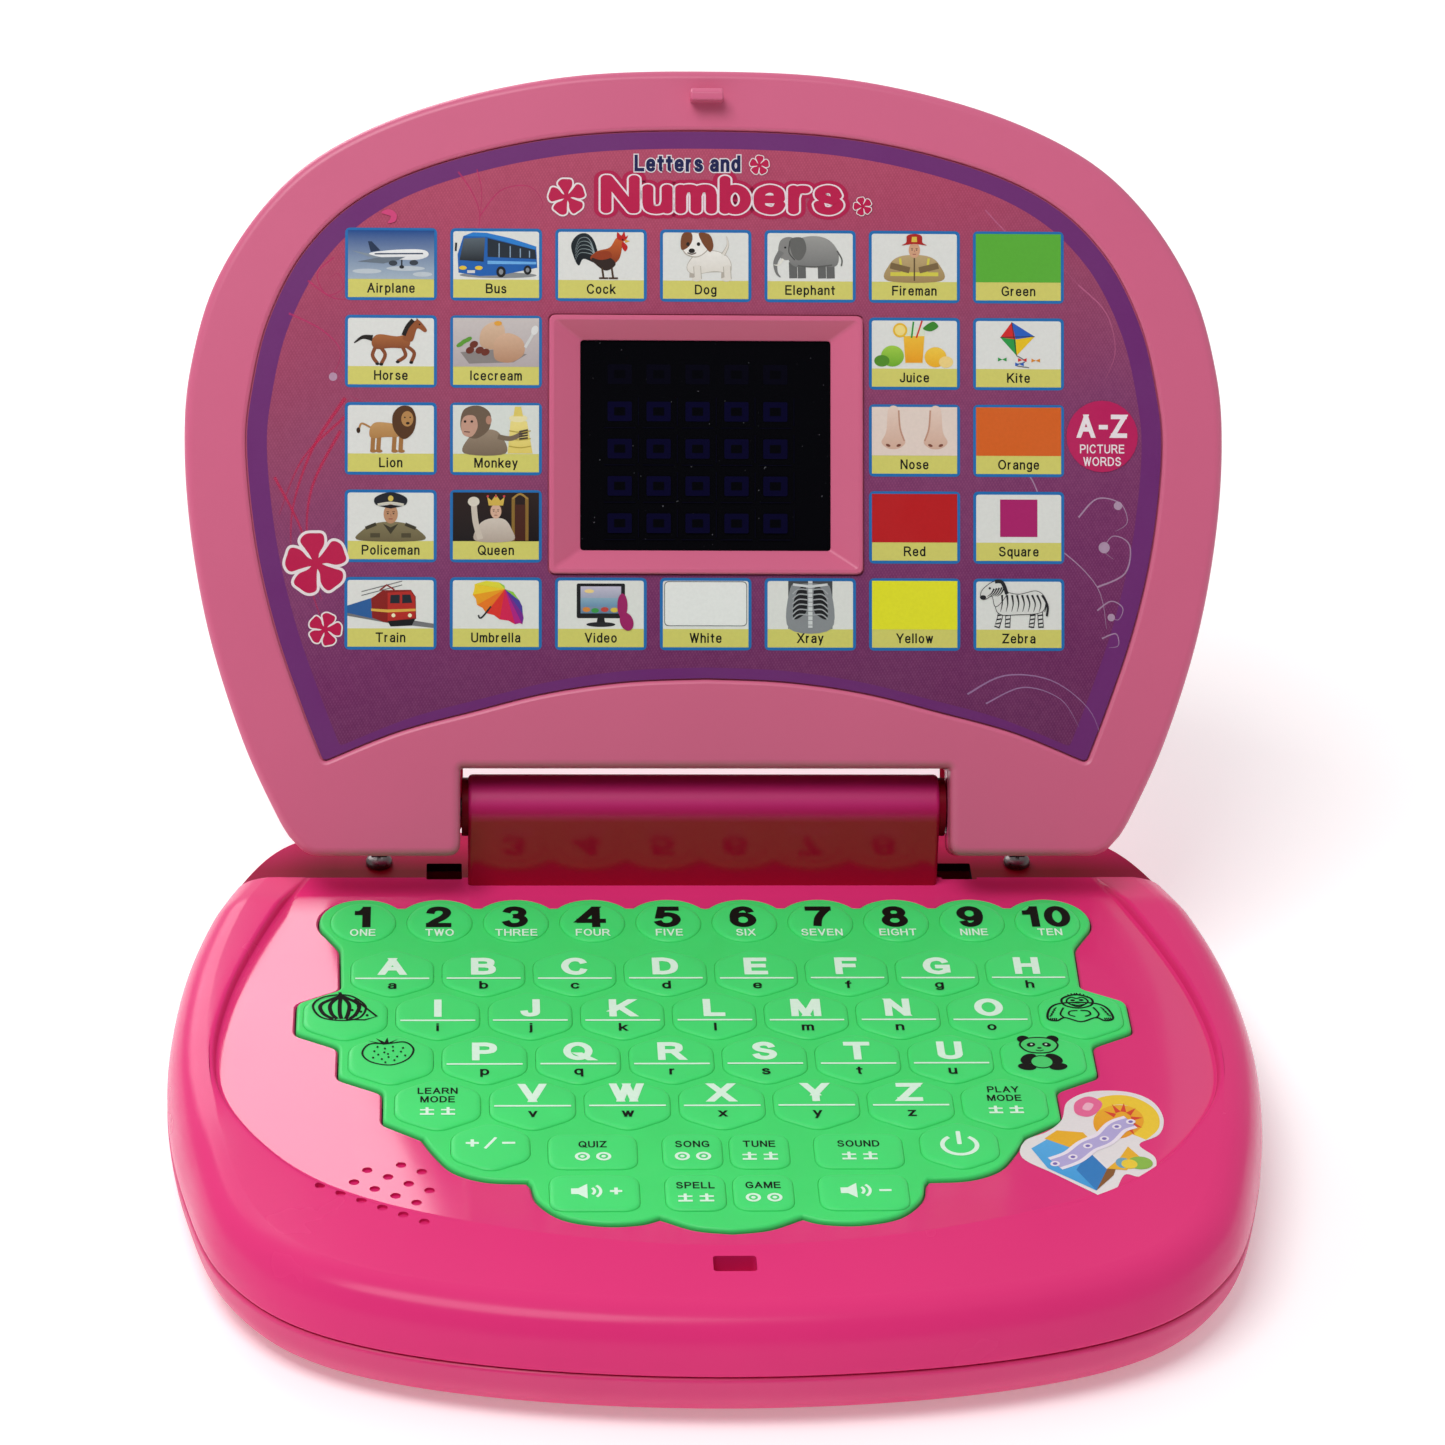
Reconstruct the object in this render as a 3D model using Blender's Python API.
"""Toy laptop computer: a round base with a rubber keypad, and a round lid with a picture sheet and a screen.

The base stands on Z = 0 with its front towards -Y. The lid is open at rest and turns about the hinge
axis, which runs along X. Lengths in the tables below are in millimetres. On the base a place is (across,
ahead, up), where ahead is measured forwards from the hinge axis. On the lid it is (across, along, out),
where along is measured from the hinge axis towards the lid's top edge, and out is measured from the axis
towards the user.
"""

import math

import bmesh
import bpy
from mathutils import Matrix, Vector

MM = 0.001

# Driving dimensions.
DECK_Z = 25.0
AXIS_Z = 40.5
LID_LEAN = 29.7
RIM_HEIGHT = 2.0
SEAM_Z = 12.0
FLOOR_Z = 3.0
LEDGE_Z = 20.0
LEDGE_FRONT = 3.7
WALL = 2.0
GAP = 0.3
LID_FRONT = 13.0
LID_SEAM = 5.0
LID_BACK = -6.0
BARREL_RADIUS = 7.0
BARREL_HALF = 50.7
NOTCH_HALF = 52.4
NOTCH_TOP = 8.2
LEG_END = -10.6
KEY_TOP = 26.3
KEY_FOOT = 22.7
SHEET_TOP = 25.7
SHEET_FACE = 23.9
BOARD_TOP = 21.4

# Half outlines, from the middle of the front (or of the lid's top) to the middle of the back.
BASE_HALF = [(0, 171.5), (46, 167.6), (80, 156.7), (98.5, 137.8), (107.5, 110.1), (112, 80.4), (112, 52.6)]
BASE_HALF += [(108.4, 25.9), (101, -0.9), (92, -18.2), (80, -24.6), (60, -25.6), (30, -25.6), (0, -25.6)]
DECK_HALF = [(0, 145.8), (32, 142.3), (60, 133.9), (78, 124.5), (90, 112.1), (99.5, 94.2), (102, 76.4)]
DECK_HALF += [(100, 54.6), (95, 32.8), (88, 11), (80, -6.8), (68, -14.7), (40, -16.7), (0, -16.7)]
LID_HALF = [(0, 157.6), (29.9, 156.2), (57.8, 150.1), (79.8, 140.6), (93.9, 128.6), (104.7, 111.7)]
LID_HALF += [(109.9, 93.7), (111.2, 77.8), (109.8, 57.8), (105.7, 35.9), (98.7, 14), (91.4, -2), (87.7, -8)]
RING = 72

# The lid's recess, picture sheet and screen.
RECESS_SIDE = [(0, 144.6), (29.9, 143.2), (55.8, 137.6), (73.8, 129.6), (85.8, 118.2), (93.3, 103.7)]
RECESS_SIDE += [(96.9, 88.8), (98, 75.8), (95.9, 55.8), (91.8, 37.9), (86.4, 21.9), (81.6, 9.4)]
RECESS_ARC = [(65.8, 15.8), (49.6, 20.2), (33.9, 24.1), (17, 26.5)]
RECESS_APEX = (0, 27.2)
RECESS_DEPTH = 1.0
FRAME_CENTRE = 77.3
FRAME_SIZE = (67.2, 55.4)
FRAME_LIP = 1.0
FRAME_OUT = 13.6
GLASS_SIZE = (53.7, 45.1)

# Keys: a row is its distance ahead of the hinge axis, a hexagon is its width across flats.
# The number keys are ovals, a little ahead of the scallops round them.
NUMBER_ROW = 23.2
NUMBER_KEYS = 24.3
NUMBER_PITCH = 16.22
NUMBER_OVAL = (6.8, 7.9)
SCALLOP_RADIUS = 9.3
HEX_PITCH = 19.03
HEX_ROWS = (45.1, 62.2, 79.2, 96.2)
HEX_SIZE = 17.0
FUNCTION_ROWS = (111.7, 113.5, 128.3)
LATCH_AHEAD = 151.5
SPEAKER_AT = (-71.0, 124.5)
CELL_RADIUS = 7.1
CELL_LENGTH = 50.0
CELL_REAR = 6.2
CELL_FLOOR = 4.7
SCREW_AT = (70.0, -10.8)


def clear_scene():
    for obj in list(bpy.data.objects):
        bpy.data.objects.remove(obj, do_unlink=True)


# Outlines


def curve_through(points, steps=8):
    """A smooth open line through the points (Catmull-Rom)."""
    ends = [points[0]] + list(points) + [points[-1]]
    line = []
    for a, b, c, d in zip(ends, ends[1:], ends[2:], ends[3:]):
        for k in range(steps):
            t = k / steps
            weights = (
                -0.5 * t**3 + t**2 - 0.5 * t,
                1.5 * t**3 - 2.5 * t**2 + 1,
                -1.5 * t**3 + 2 * t**2 + 0.5 * t,
                0.5 * t**3 - 0.5 * t**2,
            )
            line.append(tuple(sum(w * p[i] for w, p in zip(weights, (a, b, c, d))) for i in (0, 1)))
    return line + [tuple(points[-1])]


def spaced(line, count):
    """The line's points moved so that count + 1 of them are evenly spaced."""
    lengths = [0.0]
    for a, b in zip(line, line[1:]):
        lengths.append(lengths[-1] + math.dist(a, b))
    out = []
    j = 0
    for k in range(count + 1):
        at = lengths[-1] * k / count
        while j < len(line) - 2 and lengths[j + 1] < at:
            j += 1
        t = (at - lengths[j]) / (lengths[j + 1] - lengths[j])
        out.append(tuple(line[j][i] + t * (line[j + 1][i] - line[j][i]) for i in (0, 1)))
    return out


def mirrored(half):
    """A closed loop from a half outline that starts and ends on the middle line."""
    return half + [(-x, y) for x, y in reversed(half[1:-1])]


def smooth_loop(half, count=RING):
    reflected = [(-half[1][0], half[1][1])] + half + [(-half[-2][0], half[-2][1])]
    line = curve_through(reflected, 10)[10:-10]
    return mirrored(spaced(line, count // 2))


def area(loop):
    return sum(a[0] * b[1] - b[0] * a[1] for a, b in zip(loop, loop[1:] + loop[:1])) / 2


def inset(loop, depth):
    """The loop moved inwards by depth; a negative depth moves it outwards."""
    side = 1 if area(loop) > 0 else -1
    out = []
    for before, here, after in zip(loop[-1:] + loop[:-1], loop, loop[1:] + loop[:1]):
        normals = []
        for a, b in ((before, here), (here, after)):
            length = math.dist(a, b)
            normals.append((-side * (b[1] - a[1]) / length, side * (b[0] - a[0]) / length))
        (ax, ay), (bx, by) = normals
        scale = depth / (1 + ax * bx + ay * by)
        out.append((here[0] + (ax + bx) * scale, here[1] + (ay + by) * scale))
    return out


def rounded(corners, radius, steps=3):
    """A polygon with an arc at each corner."""
    out = []
    for before, here, after in zip(corners[-1:] + corners[:-1], corners, corners[1:] + corners[:1]):
        start = Vector(here) + (Vector(before) - Vector(here)).normalized() * radius
        end = Vector(here) + (Vector(after) - Vector(here)).normalized() * radius
        for k in range(steps + 1):
            t = k / steps
            point = start * (1 - t) ** 2 + Vector(here) * 2 * t * (1 - t) + end * t**2
            out.append((point.x, point.y))
    return out


def rectangle(width, height, centre=(0, 0)):
    x, y = centre
    w, h = width / 2, height / 2
    return [(x - w, y - h), (x + w, y - h), (x + w, y + h), (x - w, y + h)]


def circle(radius, sides, centre=(0, 0), turn=0.0):
    angles = [2 * math.pi * (k + turn) / sides for k in range(sides)]
    return [(centre[0] + radius * math.cos(a), centre[1] + radius * math.sin(a)) for a in angles]


def hexagon(across, centre=(0, 0), radius=2.2):
    corners = circle(across / math.sqrt(3), 6, centre, 0.5)
    return rounded(corners, radius, 1)


# Solids. A frame turns an outline's (x, y) and a height into metres in the object's own space.


def on_base(across, ahead, up):
    return Vector((across, -ahead, up)) * MM


def on_lid(across, along, out):
    return Vector((across, -out, along)) * MM


def along_x(ahead, up, across):
    return Vector((across, -ahead, up)) * MM


def skin(mesh, rings):
    """Closed walls between rings of equal length, with a flat cap on the first and the last."""
    rows = [[mesh.verts.new(point) for point in ring] for ring in rings]
    count = len(rows[0])
    for low, high in zip(rows, rows[1:]):
        for k in range(count):
            nxt = (k + 1) % count
            mesh.faces.new((low[k], low[nxt], high[nxt], high[k]))
    mesh.faces.new(list(reversed(rows[0])))
    mesh.faces.new(rows[-1])


def loft(name, frame, levels, material=None):
    """An object whose section at each (outline, height) level is that outline."""
    mesh = bmesh.new()
    skin(mesh, [[frame(x, y, height) for x, y in outline] for outline, height in levels])
    return finish(name, mesh, material)


def prisms(name, frame, outlines, low, high, material=None):
    """One object that holds a straight solid for each outline."""
    mesh = bmesh.new()
    for outline in outlines:
        skin(mesh, [[frame(x, y, height) for x, y in outline] for height in (low, high)])
    return finish(name, mesh, material)


def finish(name, mesh, material):
    bmesh.ops.recalc_face_normals(mesh, faces=mesh.faces)
    data = bpy.data.meshes.new(name)
    mesh.to_mesh(data)
    mesh.free()
    data.shade_smooth()
    data.set_sharp_from_angle(angle=math.radians(35))
    obj = bpy.data.objects.new(name, data)
    bpy.context.scene.collection.objects.link(obj)
    if material:
        data.materials.append(material)
    return obj


def cut(target, cutter, operation="DIFFERENCE"):
    modifier = target.modifiers.new(cutter.name, "BOOLEAN")
    modifier.operation = operation
    modifier.solver = "EXACT"
    modifier.object = cutter
    cutter.hide_render = True
    cutter.display_type = "WIRE"
    return target


def join(target, other):
    return cut(target, other, "UNION")


def material(name, colour, roughness=0.35, metallic=0.0, alpha=1.0):
    made = bpy.data.materials.new(name)
    made.use_nodes = True
    shader = made.node_tree.nodes["Principled BSDF"]
    shader.inputs["Base Color"].default_value = (*colour, 1.0)
    shader.inputs["Roughness"].default_value = roughness
    shader.inputs["Metallic"].default_value = metallic
    shader.inputs["Alpha"].default_value = alpha
    return made


def materials():
    return {
        "base": material("hot_pink_plastic", (0.74, 0.05, 0.22), 0.22),
        "floor": material("hot_pink_floor", (0.70, 0.045, 0.20), 0.35),
        "bezel": material("light_pink_plastic", (0.60, 0.14, 0.25), 0.32),
        "back": material("hot_pink_back", (0.72, 0.05, 0.21), 0.25),
        "print": material("printed_sheet", (0.20, 0.07, 0.14), 0.45),
        "glass": material("dark_glass", (0.004, 0.004, 0.006), 0.05),
        "panel": material("display_panel_grey", (0.05, 0.05, 0.08), 0.4),
        "silicone": material("green_silicone", (0.065, 0.66, 0.155), 0.5),
        "board": material("board_green", (0.02, 0.18, 0.06), 0.5),
        "steel": material("bright_steel", (0.62, 0.62, 0.64), 0.25, 1.0),
        "speaker": material("speaker_black", (0.02, 0.02, 0.02), 0.6),
        "door": material("hot_pink_door", (0.70, 0.045, 0.20), 0.35),
        "cell": material("cell_jacket", (0.03, 0.10, 0.32), 0.3),
    }


# Base


def rim_share(ahead):
    """How much of the rim's height is left: it dies away towards the front and by the hinge."""
    front = min(1.0, max(0.0, (138 - ahead) / 40))
    back = min(1.0, max(0.0, (ahead - LEDGE_FRONT) / 13))
    return front * front * (3 - 2 * front) * back


def make_base_top(paint):
    outer = smooth_loop(BASE_HALF)
    deck = smooth_loop(DECK_HALF)
    edge = [(0, SEAM_Z + GAP, 0), (0.2, 17, 0), (1.2, 20.6, 0.9), (3.0, 23.1, 1.5), (5.6, 24.5, 1.9)]
    rings = []
    for depth, up, extra in edge:
        rings.append([on_base(x, y, up + extra * rim_share(y)) for x, y in inset(outer, depth)])
    rings.append([on_base(x, y, DECK_Z + RIM_HEIGHT * rim_share(y)) for x, y in inset(outer, 8.4)])
    rings.append([on_base(x, y, DECK_Z + RIM_HEIGHT * rim_share(y)) for x, y in inset(deck, -0.8)])
    rings.append([on_base(x, y, DECK_Z) for x, y in deck])
    mesh = bmesh.new()
    skin(mesh, rings)
    shell = finish("base_top_shell", mesh, paint["base"])

    behind = [(-130, LEDGE_FRONT), (130, LEDGE_FRONT), (130, -60), (-130, -60)]
    cut(shell, prisms("ledge_cut", on_base, [behind], LEDGE_Z, 60))
    arc = circle(BARREL_RADIUS, 28, (0, AXIS_Z))[:15]
    foot = BARREL_RADIUS + 0.2
    section = [(foot, LEDGE_Z - 1.2)] + arc + [(-foot, LEDGE_Z - 1.2)]
    join(shell, prisms("barrel_block", along_x, [section], -BARREL_HALF, BARREL_HALF))
    cut(shell, prisms("pin_bores", along_x, [circle(2.3, 12, (0, AXIS_Z))], -60, -BARREL_HALF + 8))
    cut(shell, prisms("pin_bores_right", along_x, [circle(2.3, 12, (0, AXIS_Z))], BARREL_HALF - 8, 60))
    low = inset(smooth_loop(BASE_HALF), 2.3)
    cut(shell, prisms("cavity_low", on_base, [low], 5, LEDGE_Z - WALL))
    inner = inset(smooth_loop(BASE_HALF), 4.5)
    hall = [(x, max(y, LEDGE_FRONT + WALL)) for x, y in inner]
    hall = [point for k, point in enumerate(hall) if point != hall[k - 1] and not is_between(hall, k)]
    cut(shell, prisms("cavity_high", on_base, [hall], LEDGE_Z - WALL - 3, DECK_Z - WALL))
    cut(shell, prisms("keypad_opening", on_base, [inset(keypad_outline(), -GAP)], 14, 40))
    slots = [rectangle(7.7, 15.6, (side * 55.8, -3.3)) for side in (-1, 1)]
    slots.append(rounded(rectangle(8.4, 5.2, (0, LATCH_AHEAD)), 0.8, 2))
    slots += [circle(1.7, 10, (side * SCREW_AT[0], SCREW_AT[1])) for side in (-1, 1)]
    slots += [circle(1.05, 8, spot) for spot in speaker_spots()]
    cut(shell, prisms("deck_slots", on_base, slots, 13, 32))
    return shell


def is_between(loop, k):
    """True for a point inside a straight run along the cavity's back wall."""
    before, here, after = loop[k - 1], loop[k], loop[(k + 1) % len(loop)]
    return before[1] == here[1] == after[1]


def speaker_spots():
    """Sixteen holes on a square grid that is turned on the deck."""
    turn = math.radians(30.8)
    first = Vector((-80.0, 124.6))
    one = Vector((math.cos(turn), math.sin(turn))) * 4.75
    two = Vector((math.sin(turn), -math.cos(turn))) * 4.95
    rows = ((0, 0, 6), (1, 1, 5), (2, 1, 5), (3, 2, 4))
    return [tuple(first + one * i + two * row) for row, start, end in rows for i in range(start, end)]


def make_base_bottom(paint):
    outer = smooth_loop(BASE_HALF)
    levels = ((0.0, SEAM_Z), (0.6, 7.0), (2.6, 3.6), (5.8, 1.7), (10.0, 1.0))
    shell = loft("base_bottom_shell", on_base, [(inset(outer, d), z) for d, z in levels], paint["floor"])
    inside = ((2.3, SEAM_Z + 2), (2.8, 7.4), (5.6, 4.2), (10.0, FLOOR_Z))
    cut(shell, loft("floor_cavity", on_base, [(inset(outer, d), z) for d, z in inside]))
    posts = [circle(3.6, 12, (side * SCREW_AT[0], SCREW_AT[1])) for side in (-1, 1)]
    join(shell, prisms("screw_posts", on_base, posts, 2, LEDGE_Z - WALL - GAP))
    bores = [circle(1.7, 10, (side * SCREW_AT[0], SCREW_AT[1])) for side in (-1, 1)]
    cut(shell, prisms("post_bores", on_base, bores, 7, 25))
    feet = [circle(6, 16, (x, y)) for x, y in ((-78, -4.8), (78, -4.8), (-66, 139.8), (66, 139.8))]
    join(shell, prisms("feet", on_base, feet, 0, 2))
    cut(shell, prisms("battery_door_opening", on_base, [rectangle(48.4, 95, (0, 10.1))], -1, 8))
    cut(shell, prisms("battery_door_way", on_base, [rectangle(53, 60, (0, -30))], FLOOR_Z - 0.1, 4.7))
    return shell


def make_battery_door(paint):
    door = prisms("battery_door", on_base, [rectangle(47.8, 74.6, (0, 19.9))], 1.3, 3.6, paint["door"])
    flanges = [rectangle(52, 74.6, (0, 19.9))]
    return join(door, prisms("battery_door_flanges", on_base, flanges, FLOOR_Z + GAP, 4.3))


def make_inside(paint):
    board = [(40, 14), (80, 14), (80, 34), (84, 58), (84, 70), (64, 100), (46, 122), (24, 138)]
    board += [(-24, 138), (-46, 104), (-64, 100), (-84, 70), (-84, 58), (-80, 34), (-80, 14), (-40, 14)]
    prisms("circuit_board", on_base, [board], BOARD_TOP - 1.6, BOARD_TOP, paint["board"])
    magnet, cone, top = 15.0, 19.5, DECK_Z - WALL - GAP
    levels = [(circle(10, 24, SPEAKER_AT), 8.6), (circle(10, 24, SPEAKER_AT), magnet)]
    levels += [(circle(15.2, 24, SPEAKER_AT), cone), (circle(15.6, 24, SPEAKER_AT), top)]
    loft("speaker", on_base, levels, paint["speaker"])
    for k, across in enumerate((-15.2, 0, 15.2)):
        frame = cell_frame(across)
        body = [circle(CELL_RADIUS, 20)]
        cell = prisms(f"battery_{k + 1}", frame, body, 0, CELL_LENGTH - 1.5, paint["cell"])
        button = [circle(2.6, 12)]
        join(cell, prisms(f"battery_{k + 1}_button", frame, button, CELL_LENGTH - 2.5, CELL_LENGTH))
    for name, ahead in (("contact_front", CELL_REAR + CELL_LENGTH + 1), ("contact_rear", CELL_REAR - 1)):
        prisms(name, on_base, [rectangle(45, 0.8, (0, ahead))], 5.0, 17.6, paint["steel"])
    for side, name in ((-1, "screw_left"), (1, "screw_right")):
        at = (side * SCREW_AT[0], SCREW_AT[1])
        screw = prisms(name, on_base, [circle(1.35, 12, at)], 9, LEDGE_Z + 1.2, paint["steel"])
        join(screw, prisms(name + "_head", on_base, [circle(2.9, 16, at)], LEDGE_Z + GAP, LEDGE_Z + 2.0))
        bars = [rectangle(3.4, 0.8, at), rectangle(0.8, 3.4, at)]
        cut(screw, prisms(name + "_cross", on_base, bars[:1], LEDGE_Z + 1.3, LEDGE_Z + 4))
        cut(screw, prisms(name + "_bar", on_base, bars[1:], LEDGE_Z + 1.3, LEDGE_Z + 4))


def cell_frame(across):
    def frame(x, y, length):
        return on_base(across + x, CELL_REAR + length, CELL_FLOOR + CELL_RADIUS + y)

    return frame


def make_pins(paint):
    for side, name in ((-1, "hinge_pin_left"), (1, "hinge_pin_right")):
        ends = sorted((side * (BARREL_HALF - 7), side * 58.5))
        prisms(name, along_x, [circle(2.0, 16, (0, AXIS_Z))], ends[0], ends[1], paint["steel"])


# Keypad


def keypad_outline():
    """Scallops round the numbers, hexagon steps down the sides and three lobes at the front."""
    half = [(0, NUMBER_ROW - 5.2)]
    for k in range(5):
        x = NUMBER_PITCH * (k + 0.5)
        end = 30 if k == 4 else -38
        for step in range(5 + 3 * (k == 4)):
            turn = math.radians(-142 + (end + 142) * step / (4 + 3 * (k == 4)))
            half.append((x + SCALLOP_RADIUS * math.cos(turn), NUMBER_ROW + SCALLOP_RADIUS * math.sin(turn)))
    row = HEX_ROWS
    half += [(77.2, 36.4), (77.2, row[0] + 5.8), (86.2, row[1] - 5.8), (86.2, row[1] + 5.8)]
    half += [(77.2, row[2] - 5.9), (77.2, row[2] + 5.8), (68.0, row[3] - 5.8), (68.0, row[3] + 5.8)]
    half += [(59.6, 106.7), (57.6, 113.1), (53.8, 119.2), (47.5, 122.6), (39.4, 123.2), (37.4, 130.3)]
    half += [(32.6, 135.9), (25, 138.2), (18, 137.8), (13.9, 136), (7, 139.8), (0, 141)]
    return half + [(-x, y) for x, y in reversed(half[1:-1])]


def key_table():
    """Each key node's outlines, as lists of (shape, across, ahead)."""
    table = {}
    for k in range(10):
        table[f"key_{k + 1}"] = [("round", NUMBER_PITCH * (k - 4.5), NUMBER_KEYS)]
    rows = {0: ("ab", "cd", "ef", "gh"), 1: ("ij", "kl", "mn", "o"), 2: ("pq", "rs", "tu")}
    rows[3] = ("vw", "xy", "z")
    first = {0: -3.5, 1: -3, 2: -2.5, 3: -2}
    for row, groups in rows.items():
        place = first[row]
        for group in groups:
            name = "key_" + group if len(group) == 1 else f"keys_{group[0]}_{group[1]}"
            table[name] = [("hex", HEX_PITCH * (place + k), HEX_ROWS[row]) for k in range(len(group))]
            place += len(group)
    ends = (("key_melon", -4, 1), ("key_ape", 4, 1), ("key_berry", -3.5, 2), ("key_panda", 3.5, 2))
    for name, place, row in ends + (("key_mode_left", -3, 3), ("key_mode_right", 3, 3)):
        table[name] = [("hex", HEX_PITCH * place, HEX_ROWS[row])]
    small, big = 6.65, 26.4
    low = FUNCTION_ROWS[2]
    table["key_sign"] = [("hex_small", -46.6, FUNCTION_ROWS[0])]
    table["key_power"] = [("hex_small", 46.6, FUNCTION_ROWS[0])]
    table["key_quiz"] = [("wide", -big, FUNCTION_ROWS[1])]
    table["key_sound"] = [("wide", big, FUNCTION_ROWS[1])]
    table["key_song"] = [("narrow", -small, FUNCTION_ROWS[1])]
    table["key_tune"] = [("narrow", small, FUNCTION_ROWS[1])]
    table["key_volume_up"] = [("wide", -big, low)]
    table["key_volume_down"] = [("wide", big, low)]
    table["key_spell"] = [("narrow", -small, low)]
    table["key_game"] = [("narrow", small, low)]
    return table


def key_shape(shape, centre=(0, 0)):
    if shape == "round":
        wide, tall = NUMBER_OVAL
        return [(centre[0] + x * wide, centre[1] + y * tall) for x, y in circle(1, 18)]
    if shape == "hex":
        return hexagon(HEX_SIZE, centre)
    if shape == "hex_small":
        return hexagon(15.4, centre)
    width = 17.4 if shape == "wide" else 11.6
    return rounded(rectangle(width, 12.4, centre), 3.4, 2)


def make_keypad(paint):
    keys = key_table()
    outline = keypad_outline()
    sheet = prisms("keypad_sheet", on_base, [outline], BOARD_TOP + GAP, SHEET_TOP, paint["silicone"])
    cut(sheet, prisms("sheet_pocket", on_base, [inset(outline, 1.5)], 15, SHEET_FACE))
    holes = [inset(key_shape(shape, (x, y)), -GAP) for spots in keys.values() for shape, x, y in spots]
    cut(sheet, prisms("key_holes", on_base, holes, 14, 35))
    for name, spots in keys.items():
        x0, y0 = spots[0][1:]
        anchor = on_base(x0, y0, KEY_FOOT)
        levels = ((0.0, KEY_FOOT), (0.0, KEY_TOP - 0.5), (0.6, KEY_TOP))
        outline = key_shape(spots[0][0])
        key = loft(name, on_base, [(inset(outline, d), z - KEY_FOOT) for d, z in levels], paint["silicone"])
        key.location = anchor
        for shape, x, y in spots[1:]:
            other = key_shape(shape, (x - x0, y - y0))
            twin = loft(name + "_twin", on_base, [(inset(other, d), z - KEY_FOOT) for d, z in levels])
            twin.location = anchor
            join(key, twin)
            web = rectangle(x - x0, 4, ((x - x0) / 2, 0))
            bridge = prisms(name + "_web", on_base, [web], 0, SHEET_FACE - KEY_FOOT - 0.35)
            bridge.location = anchor
            join(key, bridge)


# Lid


def lid_outline():
    """Smooth round the top and sides, with two square legs at the bottom beside the hinge block."""
    reflected = [(-LID_HALF[1][0], LID_HALF[1][1])] + LID_HALF
    line = curve_through(reflected, 10)[10:]
    side = spaced(line, 30)
    legs = [(84.4, LEG_END), (NOTCH_HALF, LEG_END), (NOTCH_HALF, NOTCH_TOP), (0, NOTCH_TOP)]
    return mirrored(side + legs)


def recess_outline(grow=0.0):
    reflected = [(-RECESS_SIDE[1][0], RECESS_SIDE[1][1])] + RECESS_SIDE
    side = spaced(curve_through(reflected, 8)[8:], 24)
    arc = spaced(curve_through([side[-1]] + RECESS_ARC + [RECESS_APEX], 6), 10)
    return inset(mirrored(side + arc[1:]), -grow)


def frame_box(size, grow=0.0, corner=1.6):
    return rounded(rectangle(size[0] + grow, size[1] + grow, (0, FRAME_CENTRE)), corner, 2)


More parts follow.
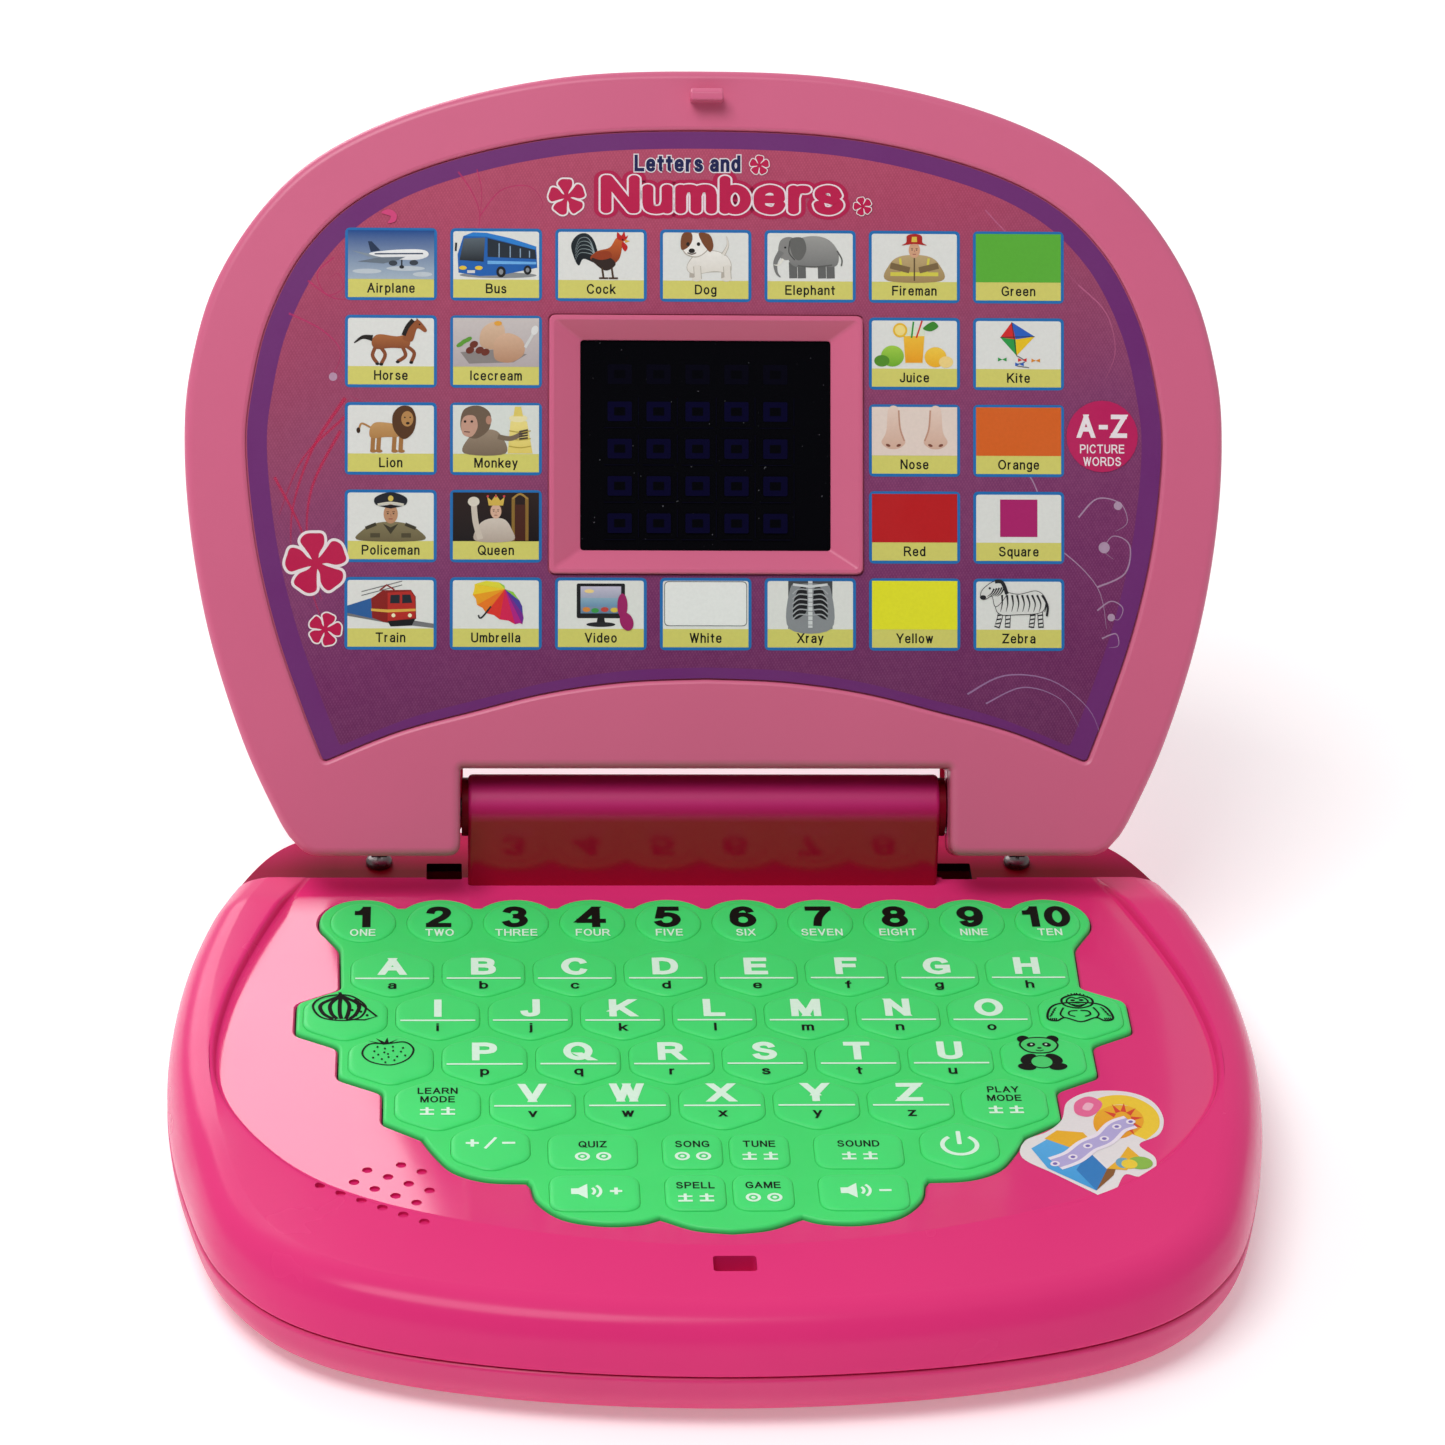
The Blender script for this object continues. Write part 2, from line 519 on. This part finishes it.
def make_lid(paint):
    hinge = bpy.data.objects.new("lid_hinge", None)
    bpy.context.scene.collection.objects.link(hinge)
    outline = lid_outline()

    levels = ((0.0, LID_SEAM), (0.0, 10.6), (0.6, 12.1), (1.5, 12.8), (2.6, LID_FRONT))
    bezel = loft("lid_front_bezel", on_lid, [(inset(outline, d), out) for d, out in levels], paint["bezel"])
    cut_low = prisms("bezel_cavity", on_lid, [inset(outline, WALL)], 2, LID_FRONT - WALL - RECESS_DEPTH)
    cut(bezel, cut_low)
    floor = LID_FRONT - RECESS_DEPTH
    recess = [(recess_outline(), floor), (recess_outline(0.9), LID_FRONT)]
    recess.append((recess_outline(0.9), LID_FRONT + 2))
    cut(bezel, loft("sheet_recess", on_lid, recess))
    frame = [(frame_box(FRAME_SIZE), floor - 0.8), (frame_box(FRAME_SIZE), FRAME_OUT - 0.3)]
    frame.append((frame_box(FRAME_SIZE, -0.8), FRAME_OUT))
    join(bezel, loft("screen_frame", on_lid, frame))
    lip = (FRAME_SIZE[0] - 2 * FRAME_LIP, FRAME_SIZE[1] - 2 * FRAME_LIP)
    window = [(frame_box(GLASS_SIZE, corner=1), LID_SEAM), (frame_box(GLASS_SIZE, corner=1), 11)]
    window += [(frame_box(lip, corner=1), FRAME_OUT), (frame_box(lip, corner=1), FRAME_OUT + 2)]
    cut(bezel, loft("window_opening", on_lid, window))
    shank = [(LATCH_AHEAD - 0.9, LID_FRONT - 0.8), (LATCH_AHEAD + 0.9, LID_FRONT - 0.8)]
    shank += [(LATCH_AHEAD + 0.9, 15.4), (LATCH_AHEAD + 1.9, 16.4), (LATCH_AHEAD + 0.9, 17.6)]
    shank.append((LATCH_AHEAD - 0.9, 17.6))
    join(bezel, prisms("latch_hook", hook_frame, [shank], -3.5, 3.5))

    back_levels = ((0.0, LID_SEAM - GAP), (0.0, -1.2), (0.9, -3.6), (2.6, -5.2), (5.0, LID_BACK))
    back_levels = [(inset(outline, depth), out) for depth, out in back_levels]
    back = loft("lid_back_shell", on_lid, back_levels, paint["back"])
    hollow = [(inset(outline, WALL), LID_SEAM + 2), (inset(outline, WALL + 0.2), -2)]
    hollow.append((inset(outline, WALL + 3), -4))
    cut(back, loft("back_cavity", on_lid, hollow))
    cut(back, prisms("knuckle_bores", hook_frame, [circle(2.3, 12)], -NOTCH_HALF - 6.5, -NOTCH_HALF + 4))
    cut(back, prisms("knuckle_bores_right", hook_frame, [circle(2.3, 12)], NOTCH_HALF - 4, NOTCH_HALF + 6.5))

    sheet = [inset(recess_outline(), 0.4)]
    picture = prisms("picture_sheet", on_lid, sheet, floor + GAP, floor + 2 * GAP, paint["print"])
    cut(picture, prisms("sheet_window", on_lid, [frame_box(FRAME_SIZE, 0.8)], 8, 16))
    glass_size = (GLASS_SIZE[0] + 5, GLASS_SIZE[1] + 5)
    top = floor - WALL - GAP
    prisms("screen_window", on_lid, [frame_box(glass_size)], top - 1.5, top, paint["glass"])
    prisms("display_panel", on_lid, [frame_box(glass_size)], top - 4.2, top - 1.5 - GAP, paint["panel"])
    return hinge, [bezel, back, picture] + [bpy.data.objects[n] for n in ("screen_window", "display_panel")]


def hook_frame(along, out, across):
    return on_lid(across, along, out)


def place(hinge, on_hinge):
    """Puts the hinge over the origin's line so that the resting box is centred, and hangs the lid on it."""
    lean = math.radians(LID_LEAN)
    rearmost = 0.0
    for depth, out in ((0.9, -3.6), (2.6, -5.2), (5.0, LID_BACK)):
        along = LID_HALF[0][1] - depth
        rearmost = max(rearmost, along * math.sin(lean) - out * math.cos(lean))
    axis_y = (BASE_HALF[0][1] - rearmost) / 2
    hinge.location = (0, axis_y * MM, AXIS_Z * MM)
    hinge.rotation_euler = (-lean, 0, 0)
    for obj in bpy.data.objects:
        if obj is hinge:
            continue
        if obj in on_hinge or any(m.object is obj for piece in on_hinge for m in piece.modifiers):
            obj.parent = hinge
        else:
            obj.location.y += axis_y * MM


def main():
    clear_scene()
    bpy.context.scene.unit_settings.system = "METRIC"
    paint = materials()
    make_base_top(paint)
    make_base_bottom(paint)
    make_battery_door(paint)
    make_inside(paint)
    make_pins(paint)
    make_keypad(paint)
    hinge, lid_pieces = make_lid(paint)
    place(hinge, lid_pieces)


main()
